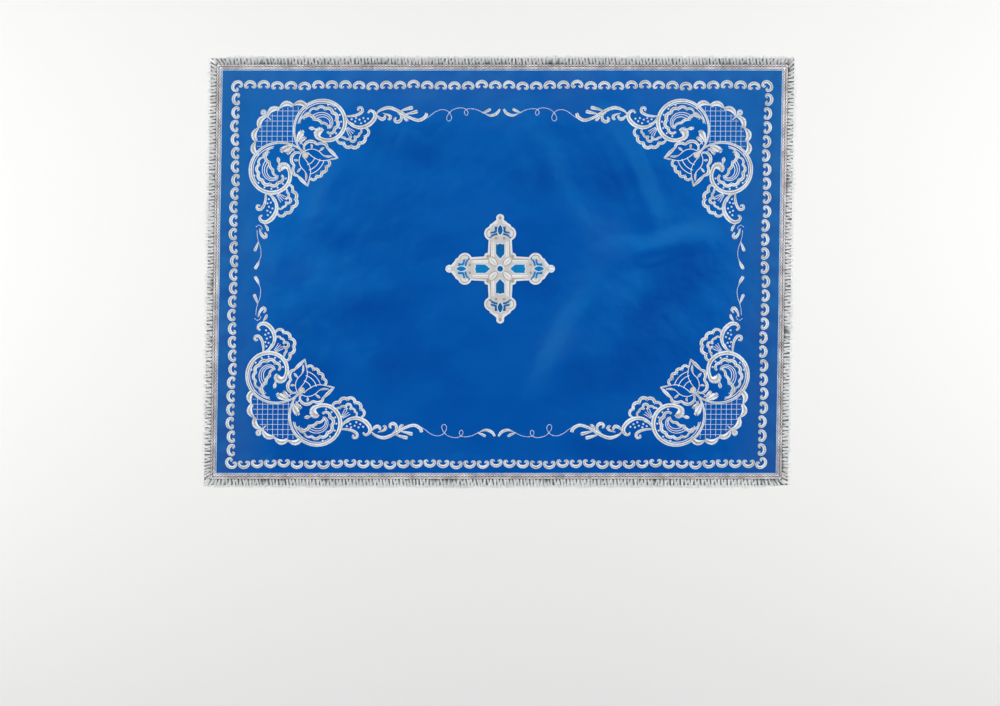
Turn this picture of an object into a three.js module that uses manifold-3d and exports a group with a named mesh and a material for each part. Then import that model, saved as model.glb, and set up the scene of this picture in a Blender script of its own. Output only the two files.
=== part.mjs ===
// A liturgical aer: a rectangular satin cover cloth, edged on all four sides with a silver braid that
// carries a short fringe, with an embroidered cross sewn on at the centre. It lies face up, as laid out.
// Millimetres, +Z up. The origin is on the surface that the cloth lies on, under the cloth's middle.
import * as THREE from "three";
import { mergeVertices } from "three/addons/utils/BufferGeometryUtils.js";
import Module from "manifold-3d";

const wasm = await Module();
wasm.setup();

// Driving dimensions
const OVERALL_WIDTH = 600; // along X, over the fringe
const OVERALL_DEPTH = 440; // along Y, over the fringe
const LEAN = 7; // the cloth is pulled off square: its +Y edge lies this far to the +X side of its -Y edge
const CLOTH_THICKNESS = 1.6; // satin, interlining and embroidery backing, sewn as one
const SEWN_GAP = 0.3; // between pieces that are sewn to each other
const BRAID_WIDTH = 7; // the woven head of the braid
const BRAID_THICKNESS = 1.2;
const BRAID_OVERHANG = 1; // how far the head reaches past the cut edge of the cloth
const FRINGE_LENGTH = 8;
const CROSS_SPAN = 112; // tip to tip, the same both ways
const CROSS_THICKNESS = 1.4;
const CROSS_CENTRE = new THREE.Vector2(1, 3); // sewn on a little above the middle of the cloth

// Satin cloth
const CLOTH_HALF_WIDTH = OVERALL_WIDTH / 2 - FRINGE_LENGTH - BRAID_OVERHANG;
const CLOTH_HALF_DEPTH = OVERALL_DEPTH / 2 - FRINGE_LENGTH - BRAID_OVERHANG;
const CLOTH_COLUMNS = 40;
const CLOTH_ROWS = 30;

// Soft ridges where the cloth stands off the surface. The crest of each runs through a few points.
const FOLDS = [
  { crest: [[103, 155], [125, 122], [141, 86], [155, 50]], halfWidth: 21, rise: 3.4 },
  { crest: [[110, 21], [150, 22], [178, 30], [206, 35]], halfWidth: 20, rise: 3.0 },
  { crest: [[118, -10], [91, -53], [67, -97], [50, -135]], halfWidth: 34, rise: 3.6 },
  { crest: [[15, 157], [36, 124], [51, 88], [76, 46]], halfWidth: 27, rise: 2.6 },
  { crest: [[-198, -47], [-170, -86], [-136, -119]], halfWidth: 30, rise: 3.0 },
  { crest: [[-166, -12], [-116, -38]], halfWidth: 36, rise: 2.4 },
  { crest: [[-246, 26], [-216, 4]], halfWidth: 24, rise: 2.2 },
  { crest: [[-198, 66], [-168, 46]], halfWidth: 26, rise: 2.0 },
  { crest: [[172, -54], [142, -82]], halfWidth: 24, rise: 2.2 },
  { crest: [[-106, 138], [-84, 128]], halfWidth: 20, rise: 1.5 },
];

// Shallow ripples where the sewn braid holds a little fullness at the edge.
const EDGE_RIPPLES = [
  { crest: [[90, 178], [94, 220]], halfWidth: 34, rise: 1.2 },
  { crest: [[-138, 182], [-142, 220]], halfWidth: 34, rise: 1.0 },
  { crest: [[-262, 44], [-300, 50]], halfWidth: 34, rise: 1.1 },
  { crest: [[262, -40], [300, -46]], halfWidth: 34, rise: 1.0 },
  { crest: [[-40, -182], [-44, -220]], halfWidth: 34, rise: 1.0 },
];

// Around the cross the stitching keeps the cloth flat.
const FLAT_RADIUS = CROSS_SPAN / 2 + 2;
const FLAT_FADE = 18;

// The distance from a point to a fold's crest.
function distanceToCrest(crest, x, y) {
  let nearest = Infinity;
  for (let index = 1; index < crest.length; index++) {
    const [fromX, fromY] = crest[index - 1];
    const alongX = crest[index][0] - fromX;
    const alongY = crest[index][1] - fromY;
    const share = ((x - fromX) * alongX + (y - fromY) * alongY) / (alongX ** 2 + alongY ** 2);
    const held = THREE.MathUtils.clamp(share, 0, 1);
    nearest = Math.min(nearest, Math.hypot(x - fromX - held * alongX, y - fromY - held * alongY));
  }
  return nearest;
}

// How far the cloth's underside stands off the surface at a point.
function foldRise(x, y) {
  let rise = 0;
  for (const { crest, halfWidth, rise: crestRise } of [...FOLDS, ...EDGE_RIPPLES]) {
    const closeness = Math.max(0, 1 - (distanceToCrest(crest, x, y) / halfWidth) ** 2);
    rise += crestRise * closeness ** 2;
  }
  const toCross = Math.hypot(x - CROSS_CENTRE.x, y - CROSS_CENTRE.y);
  return rise * THREE.MathUtils.smoothstep(toCross, FLAT_RADIUS, FLAT_RADIUS + FLAT_FADE);
}

// A point of the laid-out cloth: the lean shifts it along X.
function laid(x, y, z) {
  return new THREE.Vector3(x + (LEAN * y) / OVERALL_DEPTH, y, z);
}

// One closed geometry from points and quads that run anticlockwise as seen from outside.
function closedGeometry(points, quads) {
  const positions = points.flatMap((point) => point.toArray());
  const corners = quads.flatMap(([a, b, c, d]) => [a, b, c, a, c, d]);
  const geometry = new THREE.BufferGeometry();
  geometry.setAttribute("position", new THREE.Float32BufferAttribute(positions, 3));
  geometry.setIndex(corners);
  geometry.computeVertexNormals();
  return geometry;
}

// The satin sheet: a grid of points on its face and its underside, closed round the rim.
function clothGeometry() {
  const points = [];
  const quads = [];
  const rowLength = CLOTH_COLUMNS + 1;
  const layerLength = rowLength * (CLOTH_ROWS + 1);
  const at = (layer, column, row) => layer * layerLength + row * rowLength + column;
  for (const offset of [0, CLOTH_THICKNESS]) {
    for (let row = 0; row <= CLOTH_ROWS; row++) {
      for (let column = 0; column <= CLOTH_COLUMNS; column++) {
        const x = CLOTH_HALF_WIDTH * ((2 * column) / CLOTH_COLUMNS - 1);
        const y = CLOTH_HALF_DEPTH * ((2 * row) / CLOTH_ROWS - 1);
        points.push(laid(x, y, foldRise(x, y) + offset));
      }
    }
  }
  for (let row = 0; row < CLOTH_ROWS; row++) {
    for (let column = 0; column < CLOTH_COLUMNS; column++) {
      const next = column + 1;
      const above = row + 1;
      quads.push([at(1, column, row), at(1, next, row), at(1, next, above), at(1, column, above)]);
      quads.push([at(0, column, row), at(0, column, above), at(0, next, above), at(0, next, row)]);
    }
  }
  for (let column = 0; column < CLOTH_COLUMNS; column++) {
    const next = column + 1;
    const last = CLOTH_ROWS;
    quads.push([at(0, column, 0), at(0, next, 0), at(1, next, 0), at(1, column, 0)]);
    quads.push([at(0, next, last), at(0, column, last), at(1, column, last), at(1, next, last)]);
  }
  for (let row = 0; row < CLOTH_ROWS; row++) {
    const above = row + 1;
    const last = CLOTH_COLUMNS;
    quads.push([at(0, 0, above), at(0, 0, row), at(1, 0, row), at(1, 0, above)]);
    quads.push([at(0, last, row), at(0, last, above), at(1, last, above), at(1, last, row)]);
  }
  return closedGeometry(points, quads);
}

// Silver braid: a woven head sewn over the cloth's edge, with a fringe of flat locks along its outer side.
const LOCK_PITCH = 7.1; // each lock stands for a pair of looped threads
const LOCK_ROOT_WIDTH = 4.2;
const LOCK_TIP_WIDTH = 3.5;
const LOCK_TIP_THICKNESS = 0.7;
const LOCK_TOUCHDOWN = 0.6; // share of the length at which a lock comes down to the surface
const LOCK_SHORTEST = 0.9; // the shortest lock, as a share of the fringe's length
const UNEVEN_STEP = 2.4; // radians from lock to lock, near the golden angle
const CORNER_FAN = THREE.MathUtils.degToRad(40); // the last locks turn this far towards the corner
const CORNER_FAN_REACH = 24;
const MITRE_GAP = SEWN_GAP * Math.SQRT1_2;

// A repeatable value from 0 to 1 for each lock, so that no two neighbours are quite alike.
function unevenness(index) {
  return 0.5 + 0.5 * Math.sin(UNEVEN_STEP * index);
}

// Turns a place along and outward from an edge's middle into the cloth's own X and Y.
function fromEdge(side, along, outward) {
  const reach = side.toEdge + outward;
  const cosine = Math.cos(side.turn);
  const sine = Math.sin(side.turn);
  return [along * cosine - reach * sine, along * sine + reach * cosine];
}

// One side of the braid with its fringe. Outward is 0 at the fringe's tips.
function braidGeometry(side) {
  const points = [];
  const quads = [];
  const headOuter = -FRINGE_LENGTH;
  const headInner = headOuter - BRAID_WIDTH;
  const headBottom = CLOTH_THICKNESS + SEWN_GAP;
  const headTop = headBottom + BRAID_THICKNESS;
  const headEnd = side.halfLength - FRINGE_LENGTH - MITRE_GAP;
  const lockCount = Math.round((2 * headEnd) / LOCK_PITCH);
  const pitch = (2 * headEnd) / lockCount;

  // Each cross-section of the head has four points: inner bottom, inner top, outer top and outer bottom.
  const addSection = (along) => {
    const first = points.length;
    const innerAlong = (along * (headEnd - BRAID_WIDTH)) / headEnd;
    for (const [outward, place, z] of [
      [headInner, innerAlong, headBottom],
      [headInner, innerAlong, headTop],
      [headOuter, along, headTop],
      [headOuter, along, headBottom],
    ]) {
      const [x, y] = fromEdge(side, place, outward);
      points.push(laid(x, y, z + foldRise(x, y)));
    }
    return { innerBottom: first, innerTop: first + 1, outerTop: first + 2, outerBottom: first + 3 };
  };

  // The four faces of the head between two sections. A lock's root takes the place of the outer face.
  const addHead = (a, b, hasLock) => {
    quads.push([a.innerTop, b.innerTop, b.outerTop, a.outerTop]);
    quads.push([a.innerBottom, a.outerBottom, b.outerBottom, b.innerBottom]);
    quads.push([a.innerBottom, b.innerBottom, b.innerTop, a.innerTop]);
    if (!hasLock) {
      quads.push([b.outerBottom, a.outerBottom, a.outerTop, b.outerTop]);
    }
  };

  // A lock leaves the head, comes down to the surface and lies level on it as far as its tip.
  const addLock = (index, middle, a, b) => {
    const nearness = (Math.abs(middle) - headEnd + CORNER_FAN_REACH) / CORNER_FAN_REACH;
    const fan = CORNER_FAN * Math.sign(middle) * Math.max(0, nearness);
    const share = THREE.MathUtils.lerp(LOCK_SHORTEST, 1, unevenness(index));
    const length = FRINGE_LENGTH * (fan === 0 ? share : 1);
    let ring = [a.outerBottom, b.outerBottom, b.outerTop, a.outerTop];
    for (const reach of [LOCK_TOUCHDOWN, 1]) {
      const halfWidth = THREE.MathUtils.lerp(LOCK_ROOT_WIDTH, LOCK_TIP_WIDTH, reach) / 2;
      const thickness = THREE.MathUtils.lerp(BRAID_THICKNESS, LOCK_TIP_THICKNESS, reach);
      const next = points.length;
      for (const [across, z] of [[-1, 0], [1, 0], [1, thickness], [-1, thickness]]) {
        const along = middle + length * reach * Math.tan(fan) + across * halfWidth;
        const [x, y] = fromEdge(side, along, headOuter + length * reach);
        points.push(laid(x, y, z));
      }
      const [a0, b0, c0, d0] = ring;
      const [a1, b1, c1, d1] = [next, next + 1, next + 2, next + 3];
      quads.push([a0, a1, b1, b0], [d0, c0, c1, d1], [a1, a0, d0, d1], [b0, b1, c1, c0]);
      ring = [a1, b1, c1, d1];
    }
    quads.push([ring[1], ring[0], ring[3], ring[2]]);
  };

  const start = addSection(-headEnd);
  quads.push([start.outerBottom, start.innerBottom, start.innerTop, start.outerTop]);
  let previous = start;
  for (let index = 0; index < lockCount; index++) {
    const middle = -headEnd + pitch * (index + 0.5);
    const left = addSection(middle - LOCK_ROOT_WIDTH / 2);
    const right = addSection(middle + LOCK_ROOT_WIDTH / 2);
    addHead(previous, left, false);
    addHead(left, right, true);
    addLock(index, middle, left, right);
    previous = right;
  }
  const end = addSection(headEnd);
  addHead(previous, end, false);
  quads.push([end.innerBottom, end.outerBottom, end.outerTop, end.innerTop]);
  return closedGeometry(points, quads);
}

const BRAID_SIDES = [
  { name: "braid_top", turn: 0, toEdge: OVERALL_DEPTH / 2, halfLength: OVERALL_WIDTH / 2 },
  { name: "braid_left", turn: Math.PI / 2, toEdge: OVERALL_WIDTH / 2, halfLength: OVERALL_DEPTH / 2 },
  { name: "braid_bottom", turn: Math.PI, toEdge: OVERALL_DEPTH / 2, halfLength: OVERALL_WIDTH / 2 },
  { name: "braid_right", turn: -Math.PI / 2, toEdge: OVERALL_WIDTH / 2, halfLength: OVERALL_DEPTH / 2 },
];

// Sewn-on cross: four equal arms, each ending in a bud of two lobes, two shoulders and a ball.
const BALL_RADIUS = 4.2;

// The arcs of one arm that points along +Y, up its right side, over the ball and down its left side.
// Angles are in degrees, anticlockwise from +X, and straight sides join each arc to the next.
const BUD_SIDE = [
  { across: 9.1, along: 36, radius: 7.3, from: -75, to: 68 },
  { across: 8.4, along: 43.6, radius: 2.6, from: -20, to: 100 },
];
const ARM_ARCS = [
  { across: 13, along: 13, radius: 3.4, from: -36, to: 126 },
  ...BUD_SIDE,
  { across: 0, along: CROSS_SPAN / 2 - BALL_RADIUS, radius: BALL_RADIUS, from: -40, to: 220 },
  ...BUD_SIDE.toReversed().map(({ across, along, radius, from, to }) => {
    return { across: -across, along, radius, from: 180 - to, to: 180 - from };
  }),
];
const ARC_STEPS = 4;

// The coloured windows lie below the raised silver stitching.
const WINDOW_SUNK = 0.6;
const PANE = { halfWidth: 4.8, point: 9.5, shoulder: 15, top: 26.5 };
const BUD_EYE = { along: 39.6, halfWidth: 2.2, halfLength: 4.6 };
const CENTRE_EYE_RADIUS = 3.2;
const QUARTER_TURNS = [0, 1, 2, 3].map((count) => (count * Math.PI) / 2);

// The outline of the whole cross.
function crossOutline() {
  const shape = new THREE.Shape();
  for (const turn of QUARTER_TURNS) {
    for (const { across, along, radius, from, to } of ARM_ARCS) {
      const centre = new THREE.Vector2(across, along).rotateAround(new THREE.Vector2(), turn);
      const start = THREE.MathUtils.degToRad(from) + turn;
      const end = THREE.MathUtils.degToRad(to) + turn;
      shape.absarc(centre.x, centre.y, radius, start, end, false);
    }
  }
  shape.closePath();
  return shape;
}

// The pointed pane in an arm that points along +Y.
function paneOutline() {
  const { halfWidth, point, shoulder, top } = PANE;
  const shape = new THREE.Shape();
  shape.moveTo(0, point);
  shape.lineTo(halfWidth, shoulder);
  shape.lineTo(halfWidth, top);
  shape.lineTo(-halfWidth, top);
  shape.lineTo(-halfWidth, shoulder);
  shape.closePath();
  return shape;
}

// A round or oval eye on the middle line of an arm that points along +Y.
function eyeOutline(along, halfWidth, halfLength) {
  return new THREE.Shape().absellipse(0, along, halfWidth, halfLength, 0, 2 * Math.PI);
}

// An upright slab of an outline as a solid, turned about Z.
function slab(shape, bottom, top, turn = 0) {
  const geometry = new THREE.ExtrudeGeometry(shape, {
    depth: top - bottom,
    bevelEnabled: false,
    curveSegments: ARC_STEPS,
  });
  geometry.translate(0, 0, bottom).rotateZ(turn);
  geometry.deleteAttribute("normal");
  geometry.deleteAttribute("uv");
  const merged = mergeVertices(geometry, 1e-4);
  return new wasm.Manifold(
    new wasm.Mesh({
      numProp: 3,
      vertProperties: merged.getAttribute("position").array,
      triVerts: new Uint32Array(merged.index.array),
    }),
  );
}

function crossGeometry() {
  const bottom = CLOTH_THICKNESS + SEWN_GAP;
  const top = bottom + CROSS_THICKNESS;
  const floor = top - WINDOW_SUNK;
  const clear = top + CROSS_THICKNESS;
  let cross = slab(crossOutline(), bottom, top);
  cross = cross.subtract(slab(eyeOutline(0, CENTRE_EYE_RADIUS, CENTRE_EYE_RADIUS), floor, clear));
  for (const turn of QUARTER_TURNS) {
    const { along, halfWidth, halfLength } = BUD_EYE;
    cross = cross.subtract(slab(paneOutline(), floor, clear, turn));
    cross = cross.subtract(slab(eyeOutline(along, halfWidth, halfLength), floor, clear, turn));
  }
  const made = cross.getMesh();
  const geometry = new THREE.BufferGeometry();
  geometry.setAttribute("position", new THREE.BufferAttribute(made.vertProperties, made.numProp));
  geometry.setIndex(new THREE.BufferAttribute(made.triVerts, 1));
  geometry.translate(CROSS_CENTRE.x, CROSS_CENTRE.y, 0);
  geometry.computeVertexNormals();
  return geometry;
}

// Finishes
const satin = new THREE.MeshStandardMaterial({ color: "#0255a6", roughness: 0.45, metalness: 0 });
const silverBraid = new THREE.MeshStandardMaterial({ color: "#b9bbba", roughness: 0.35, metalness: 0.6 });
const silverStitching = new THREE.MeshStandardMaterial({ color: "#dcd6cf", roughness: 0.5, metalness: 0.2 });

const aer = new THREE.Group();

function addPiece(name, geometry, material) {
  const piece = new THREE.Mesh(geometry, material);
  piece.name = name;
  aer.add(piece);
}

addPiece("cloth", clothGeometry(), satin);
for (const side of BRAID_SIDES) {
  addPiece(side.name, braidGeometry(side), silverBraid);
}
addPiece("cross_applique", crossGeometry(), silverStitching);

export default aer;
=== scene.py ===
import math

import bpy
import numpy as np
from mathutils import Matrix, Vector


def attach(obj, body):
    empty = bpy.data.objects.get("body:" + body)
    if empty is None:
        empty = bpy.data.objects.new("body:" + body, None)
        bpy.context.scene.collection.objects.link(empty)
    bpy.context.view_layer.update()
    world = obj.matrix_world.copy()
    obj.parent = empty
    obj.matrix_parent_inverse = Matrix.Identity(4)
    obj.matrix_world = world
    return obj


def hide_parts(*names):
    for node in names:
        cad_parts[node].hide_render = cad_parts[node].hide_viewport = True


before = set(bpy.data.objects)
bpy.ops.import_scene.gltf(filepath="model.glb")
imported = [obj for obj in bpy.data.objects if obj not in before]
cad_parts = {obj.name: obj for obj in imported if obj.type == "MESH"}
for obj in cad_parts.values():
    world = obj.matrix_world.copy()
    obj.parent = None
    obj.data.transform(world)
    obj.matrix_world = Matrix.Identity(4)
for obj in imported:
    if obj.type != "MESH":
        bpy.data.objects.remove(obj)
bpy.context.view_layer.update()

# Satin panel
# The body of the aer is one rectangle of blue polyester satin, stiffened with interlining so that it lies
# smooth. The dense stitching has pulled it a little off square, and it lies in a few soft folds.
MM = 0.001  # sizes are written in millimetres, and the scene is in metres
PANEL_WIDTH = 582
PANEL_DEPTH = 422
PANEL_THICKNESS = 1.6
OVERALL_WIDTH = 600
OVERALL_DEPTH = 440
LEAN = 7  # the top edge lies this far to the right of the bottom edge
PANEL_STEP = 3  # spacing of the panel's mesh

# Soft ridges that stand off the table: points on the crest, half width and rise.
FOLDS = [
    ([(103, 155), (125, 122), (141, 86), (155, 50)], 21, 3.4),
    ([(110, 21), (150, 22), (178, 30), (206, 35)], 20, 3.0),
    ([(118, -10), (91, -53), (67, -97), (50, -135)], 34, 3.6),
    ([(15, 157), (36, 124), (51, 88), (76, 46)], 27, 2.6),
    ([(-198, -47), (-170, -86), (-136, -119)], 30, 3.0),
    ([(-166, -12), (-116, -38)], 36, 2.4),
    ([(-246, 26), (-216, 4)], 24, 2.2),
    ([(-198, 66), (-168, 46)], 26, 2.0),
    ([(172, -54), (142, -82)], 24, 2.2),
    ([(-106, 138), (-84, 128)], 20, 1.5),
]
# Narrower creases on and beside the ridges, where the cloth was folded away: crest, half width and rise.
CREASES = [
    ([(102, 0), (140, 14), (175, 25), (209, 39)], 13, 1.2),
    ([(138, 10), (112, -34), (88, -76), (64, -120)], 42, 1.8),
    ([(102, 24), (80, -30), (60, -80), (42, -128)], 18, 0.6),
    ([(-240, 12), (-214, -20), (-180, -72)], 16, 1.1),
    ([(-200, 62), (-150, 34), (-112, 12), (-66, -14)], 18, 0.9),
    ([(-150, 120), (-176, 92), (-196, 50)], 18, 1.0),
    ([(120, -60), (98, -104), (82, -140)], 18, 0.8),
    ([(-60, 150), (-40, 110), (-34, 76)], 18, 0.7),
]
# Shallow ripples where the sewn braid holds a little fullness.
EDGE_RIPPLES = [
    ([(90, 178), (94, 220)], 34, 1.2),
    ([(-138, 182), (-142, 220)], 34, 1.0),
    ([(-262, 44), (-300, 50)], 34, 1.1),
    ([(262, -40), (300, -46)], 34, 1.0),
    ([(-40, -182), (-44, -220)], 34, 1.0),
]
# Bands of painted sheen and painted shade on the satin's folds: points, half width and change of tone.
PAINTED_SHEEN_BANDS = [
    ([(222, 20), (180, -20), (140, -62), (94, -112)], 32, -0.11),
    ([(80, 128), (108, 96), (130, 60)], 22, -0.11),
    ([(-162, 108), (-110, 118), (-56, 110)], 28, -0.08),
    ([(-150, -40), (-120, -90), (-90, -124)], 30, -0.05),
    ([(102, 26), (74, -30), (53, -90), (38, -120)], 24, 0.2),
    ([(66, 62), (104, 44), (126, 18)], 34, 0.2),
    ([(146, 32), (208, 46)], 11, 0.22),
    ([(178, 62), (234, 42)], 28, 0.14),
    ([(-242, 28), (-206, 2), (-182, -14)], 36, 0.14),
    ([(-174, 112), (-190, 62), (-200, 30)], 15, 0.2),
]
CROSS_CENTRE = (1, 3)  # the cross is sewn on a little above the middle
FLAT_RADIUS = 58  # its stitching keeps the cloth flat round it
FLAT_FADE = 18
PAINTED_EDGE_SHEEN_DEPTH = 75  # how far in from the edge the satin's colour is painted lighter, as painted sheen
PUCKER_RISE = 0.7  # small puckers in the plain strip between the stitched border and the braid
PUCKER_SPACING = 26
PUCKER_FROM_EDGE = 14
PUCKER_HALF_WIDTH = 13
PUCKER_DRIFT = 9  # the puckers are spaced unevenly by this much
PUCKER_DRIFT_SPACING = 41


def from_crest(crest, x, y):
    """Distance from each place to a crest through a few points, and the share of the way along it."""
    nearest = np.full(np.shape(x), np.inf)
    along = np.zeros(np.shape(x))
    spans = len(crest) - 1
    for i, ((from_x, from_y), (to_x, to_y)) in enumerate(zip(crest, crest[1:])):
        along_x, along_y = to_x - from_x, to_y - from_y
        share = ((x - from_x) * along_x + (y - from_y) * along_y) / (along_x**2 + along_y**2)
        held = np.clip(share, 0, 1)
        away = np.hypot(x - from_x - held * along_x, y - from_y - held * along_y)
        along = np.where(away < nearest, (i + held) / spans, along)
        nearest = np.minimum(nearest, away)
    return nearest, along


def smooth(value):
    """The usual smooth step from 0 to 1."""
    held = np.clip(value, 0, 1)
    return held * held * (3 - 2 * held)


def soft_bands(bands, x, y, end_share, fading):
    """The sum of bands that are full on their middle lines and fade to their sides and ends."""
    total = np.zeros(np.shape(x))
    for crest, half_width, amount in bands:
        away, along = from_crest(crest, x, y)
        fade = end_share + (1 - end_share) * np.sin(math.pi * along) ** fading
        total += amount * fade * np.maximum(0, 1 - (away / half_width) ** 2) ** 2
    return total


def fold_rise(x, y):
    """How far the cloth's underside stands off the table."""
    rise = soft_bands(FOLDS + EDGE_RIPPLES, x, y, 0.5, 0.8) + soft_bands(CREASES, x, y, 0, 0.8)
    rise *= smooth((np.hypot(x - CROSS_CENTRE[0], y - CROSS_CENTRE[1]) - FLAT_RADIUS) / FLAT_FADE)
    to_side = PANEL_WIDTH / 2 - np.abs(x)
    to_end = PANEL_DEPTH / 2 - np.abs(y)
    along = np.where(to_side < to_end, y, x)
    from_strip = (np.minimum(to_side, to_end) - PUCKER_FROM_EDGE) / PUCKER_HALF_WIDTH
    in_strip = np.maximum(0, 1 - from_strip**2)
    wander = along + PUCKER_DRIFT * np.sin(along / PUCKER_DRIFT_SPACING)
    rise += PUCKER_RISE * in_strip**2 * (0.5 + 0.5 * np.sin(2 * math.pi * wander / PUCKER_SPACING))
    return rise


def laid(x, y, lift):
    """Places on the laid-out aer, in metres, at a height in millimetres above the cloth's underside."""
    x, y = np.asarray(x, float), np.asarray(y, float)
    return np.stack([x + LEAN * y / OVERALL_DEPTH, y, fold_rise(x, y) + lift], axis=-1) * MM


def in_scene(name, data):
    """An object of the scene with the given mesh, lamp or camera."""
    made = bpy.data.objects.new(name, data)
    bpy.context.scene.collection.objects.link(made)
    return made


def mesh_object(name, points, faces, edges=()):
    """A mesh object with smooth faces, placed by its points."""
    mesh = bpy.data.meshes.new(name)
    mesh.from_pydata(np.asarray(points).reshape(-1, 3).tolist(), list(edges), list(faces))
    mesh.shade_smooth()
    return in_scene(name, mesh)


def carry(made, name, values):
    """Gives every point of a mesh a value of its own."""
    layer = made.data.attributes.new(name, "FLOAT", "POINT")
    layer.data.foreach_set("value", np.asarray(values, np.float32))


def grid_faces(rows, columns, first=0, flipped=False):
    """Quads between rows of points, facing up where rows run along +Y and columns along +X."""
    corner = first + np.arange(rows - 1)[:, None] * columns + np.arange(columns - 1)
    quads = np.stack([corner, corner + 1, corner + columns + 1, corner + columns], axis=-1).reshape(-1, 4)
    return (quads[:, ::-1] if flipped else quads).tolist()


def panel_mesh():
    """The satin sheet, closed all round: its face, its underside and its cut edge."""
    x = np.linspace(-PANEL_WIDTH / 2, PANEL_WIDTH / 2, round(PANEL_WIDTH / PANEL_STEP) + 1)
    y = np.linspace(-PANEL_DEPTH / 2, PANEL_DEPTH / 2, round(PANEL_DEPTH / PANEL_STEP) + 1)
    across, up = np.meshgrid(x, y)
    face, under = laid(across, up, PANEL_THICKNESS), laid(across, up, 0)
    count = across.size
    index = np.arange(count).reshape(across.shape)
    rim = np.concatenate([index[0, :-1], index[:-1, -1], index[-1, :0:-1], index[:0:-1, 0]])
    after = np.roll(rim, -1)
    faces = grid_faces(len(y), len(x)) + grid_faces(len(y), len(x), count, flipped=True)
    faces += np.stack([rim + count, after + count, after, rim], axis=-1).tolist()
    made = mesh_object("satin_panel", np.concatenate([face.reshape(-1, 3), under.reshape(-1, 3)]), faces)
    # Every point carries its share of the painted sheen and painted shade bands.
    carry(made, "sheen", np.tile(soft_bands(PAINTED_SHEEN_BANDS, across, up, 0.3, 1).ravel(), 2))
    return made


def linear(code):
    """An sRGB hex colour as linear values for a shader."""
    parts = [int(code[i:i + 2], 16) / 255 for i in (1, 3, 5)]
    return [c / 12.92 if c <= 0.04045 else ((c + 0.055) / 1.055) ** 2.4 for c in parts] + [1.0]


def add_node(tree, kind, inputs=None, **settings):
    """A node with its settings. An input gets a value, or a link from another node's output."""
    node = tree.nodes.new(kind)
    for name, value in settings.items():
        setattr(node, name, value)
    for key, value in (inputs or {}).items():
        if isinstance(value, bpy.types.NodeSocket):
            tree.links.new(value, node.inputs[key])
        else:
            node.inputs[key].default_value = value
    return node


def result(tree, kind, inputs=None, **settings):
    """The first output of a new node."""
    return add_node(tree, kind, inputs, **settings).outputs[0]


def maths(tree, operation, *values):
    """One sum on numbers or on other nodes' outputs."""
    return result(tree, "ShaderNodeMath", dict(enumerate(values)), operation=operation)


def remap(tree, value, source, target=(0.0, 1.0), **settings):
    """A value moved from one range to another, and held inside it."""
    inputs = {"Value": value, "From Min": source[0], "From Max": source[1]}
    inputs |= {"To Min": target[0], "To Max": target[1]}
    return result(tree, "ShaderNodeMapRange", inputs, **settings)


def noise(tree, place, scale, detail=1.0):
    """Soft noise. Its scale is one over the size of its clouds."""
    return result(tree, "ShaderNodeTexNoise", {"Vector": place, "Scale": scale, "Detail": detail})


def waves(tree, place, spacing, distortion, direction):
    """Even waves at a spacing in metres."""
    inputs = {"Vector": place, "Scale": math.pi / 10 / spacing, "Distortion": distortion, "Detail": 1.0}
    return add_node(tree, "ShaderNodeTexWave", inputs, bands_direction=direction).outputs["Fac"]


def attribute(tree, name):
    """The value of that name that a mesh's points carry."""
    return add_node(tree, "ShaderNodeAttribute", attribute_name=name).outputs["Fac"]


def ramp(tree, share, *stops):
    """A colour that runs through stops in rising order, each a share and an sRGB hex colour."""
    node = add_node(tree, "ShaderNodeValToRGB", {"Fac": share})
    elements = node.color_ramp.elements
    while len(elements) < len(stops):
        elements.new(0.5)
    for element, (position, code) in zip(elements, stops):
        element.position = position
        element.color = linear(code)
    return node.outputs["Color"]


def bumps(tree, height, strength, depth, under=None):
    """The normal of bumps of a depth in metres, on top of other bumps where they are given."""
    inputs = {"Height": height, "Strength": strength, "Distance": depth}
    if under is not None:
        inputs["Normal"] = under
    return result(tree, "ShaderNodeBump", inputs)


def new_material(name):
    """An empty node material and its tree."""
    material = bpy.data.materials.new(name)
    material.use_nodes = True
    material.node_tree.nodes.clear()
    return material, material.node_tree


def surface(material, inputs):
    """Gives a material its shader, with these inputs, and hands the material back."""
    shader = result(material.node_tree, "ShaderNodeBsdfPrincipled", inputs)
    add_node(material.node_tree, "ShaderNodeOutputMaterial", {"Surface": shader})
    return material


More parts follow.
